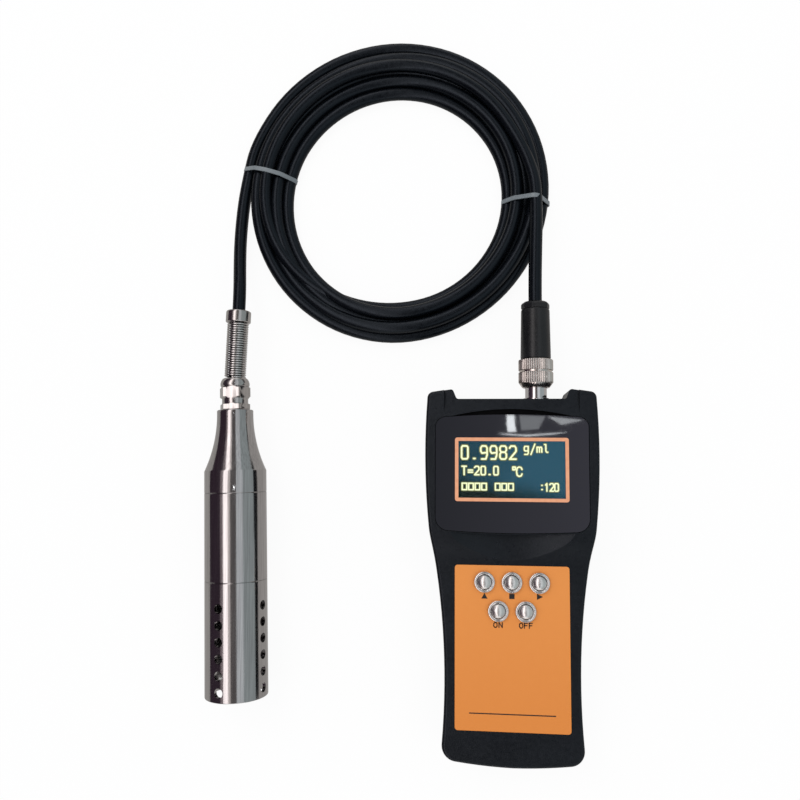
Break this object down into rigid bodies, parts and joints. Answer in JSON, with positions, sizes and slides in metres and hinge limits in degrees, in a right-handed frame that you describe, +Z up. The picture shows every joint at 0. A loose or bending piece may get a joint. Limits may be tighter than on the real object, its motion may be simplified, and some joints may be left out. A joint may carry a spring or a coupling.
{
  "type": "density meter",
  "caption": "Handheld liquid density meter: black keypad housing with a display, joined by a coiled lead to a steel tuning-fork probe with a pierced guard.",
  "frame": {"origin": "centre of the keypad housing's flat back face, which lies on z = 0 with the probe and the coil", "axes": "+X to the right as the keypad is read, +Y along the housing from its foot towards the plug, +Z up out of the keypad"},
  "size_m": [0.2207, 0.4156, 0.035],
  "materials": {
    "housing_black": "fine matt moulded black",
    "housing_back": "fine matt moulded black",
    "door_black": "fine matt moulded black",
    "lens_smoke": "polished dark grey printed acrylic",
    "frame_print": "orange printed frame",
    "window_clear": "clear polished",
    "screen_teal": "teal backlit display",
    "board_green": "lacquered circuit board",
    "chip_black": "moulded component bodies",
    "plate_orange": "orange printed satin film",
    "chrome": "polished chrome",
    "button_black": "moulded black",
    "nickel": "bright nickel plate",
    "socket_steel": "polished steel",
    "insert_black": "moulded insulator",
    "pin_gold": "gold plated",
    "gasket_rubber": "black rubber",
    "cell_label": "plain grey cell sleeve",
    "contact_nickel": "nickelled spring steel",
    "screw_steel": "black zinc steel",
    "plug_black": "satin moulded black",
    "cable_black": "smooth satin black jacket",
    "tie_grey": "grey cable tie",
    "probe_steel": "polished stainless with fine lengthwise grain",
    "fork_steel": "ground stainless",
    "gland_nickel": "nickelled brass",
    "spring_steel": "bright spring wire",
    "piezo_ceramic": "ceramic discs"
  },
  "bodies": {
    "meter": {"rear_shell": "housing_back", "front_shell": "housing_black", "case_screws": "screw_steel", "display_lens": "lens_smoke", "display_border": "frame_print", "display_window": "window_clear", "oled_glass": "screen_teal", "oled_board": "board_green", "main_board": "board_green", "board_parts": "chip_black", "board_screws": "screw_steel", "keypad_plate": "plate_orange", "button_barrels": "chrome", "button_nuts": "contact_nickel", "button_bases": "button_black", "battery_cells": "cell_label", "battery_contacts": "contact_nickel", "socket_gasket": "gasket_rubber", "socket_body": "socket_steel", "socket_nut": "contact_nickel", "socket_insert": "insert_black", "socket_pins": "pin_gold"},
    "battery_door": {"battery_door": "door_black"},
    "button_up": {"button_up": "chrome"},
    "button_set": {"button_set": "chrome"},
    "button_right": {"button_right": "chrome"},
    "button_on": {"button_on": "chrome"},
    "button_off": {"button_off": "chrome"},
    "lead": {"plug_insert": "insert_black", "plug_body": "plug_black", "plug_clamp_nut": "plug_black", "probe_head": "probe_steel", "probe_tube": "probe_steel", "fork_guard": "probe_steel", "tuning_fork": "fork_steel", "piezo_stacks": "piezo_ceramic", "probe_orings": "gasket_rubber", "probe_board": "board_green", "gland_body": "gland_nickel", "gland_seal": "gasket_rubber", "gland_nut": "gland_nickel", "strain_spring": "spring_steel", "spring_cap": "gland_nickel", "cable_entry": "cable_black", "coil_tie_left": "tie_grey", "coil_tie_right": "tie_grey", "cable_coil": "cable_black", "cable_tail_probe": "cable_black", "cable_tail_meter": "cable_black"},
    "coupling_nut": {"coupling_nut": "nickel"}
  },
  "joints": [
    {"name": "battery_door_slide", "type": "slide", "parent": "meter", "child": "battery_door", "axis": [0, -1, 0], "range_m": [0, 0.066]},
    {"name": "button_up_press", "type": "slide", "parent": "meter", "child": "button_up", "axis": [0, 0, -1], "range_m": [0, 0.0008], "stiffness_N_per_m": 1000, "springref_m": -0.0005},
    {"name": "button_set_press", "type": "slide", "parent": "meter", "child": "button_set", "axis": [0, 0, -1], "range_m": [0, 0.0008], "stiffness_N_per_m": 1000, "springref_m": -0.0005},
    {"name": "button_right_press", "type": "slide", "parent": "meter", "child": "button_right", "axis": [0, 0, -1], "range_m": [0, 0.0008], "stiffness_N_per_m": 1000, "springref_m": -0.0005},
    {"name": "button_on_press", "type": "slide", "parent": "meter", "child": "button_on", "axis": [0, 0, -1], "range_m": [0, 0.0008], "stiffness_N_per_m": 1000, "springref_m": -0.0005},
    {"name": "button_off_press", "type": "slide", "parent": "meter", "child": "button_off", "axis": [0, 0, -1], "range_m": [0, 0.0008], "stiffness_N_per_m": 1000, "springref_m": -0.0005},
    {"name": "plug_pull", "type": "slide", "parent": "meter", "child": "lead", "axis": [0, 1, 0], "range_m": [0, 0.014]},
    {"name": "coupling_nut_turn", "type": "hinge", "parent": "lead", "child": "coupling_nut", "pos_m": [0.0144, 0.11, 0.0185], "axis": [0, 1, 0], "continuous": true}
  ]
}
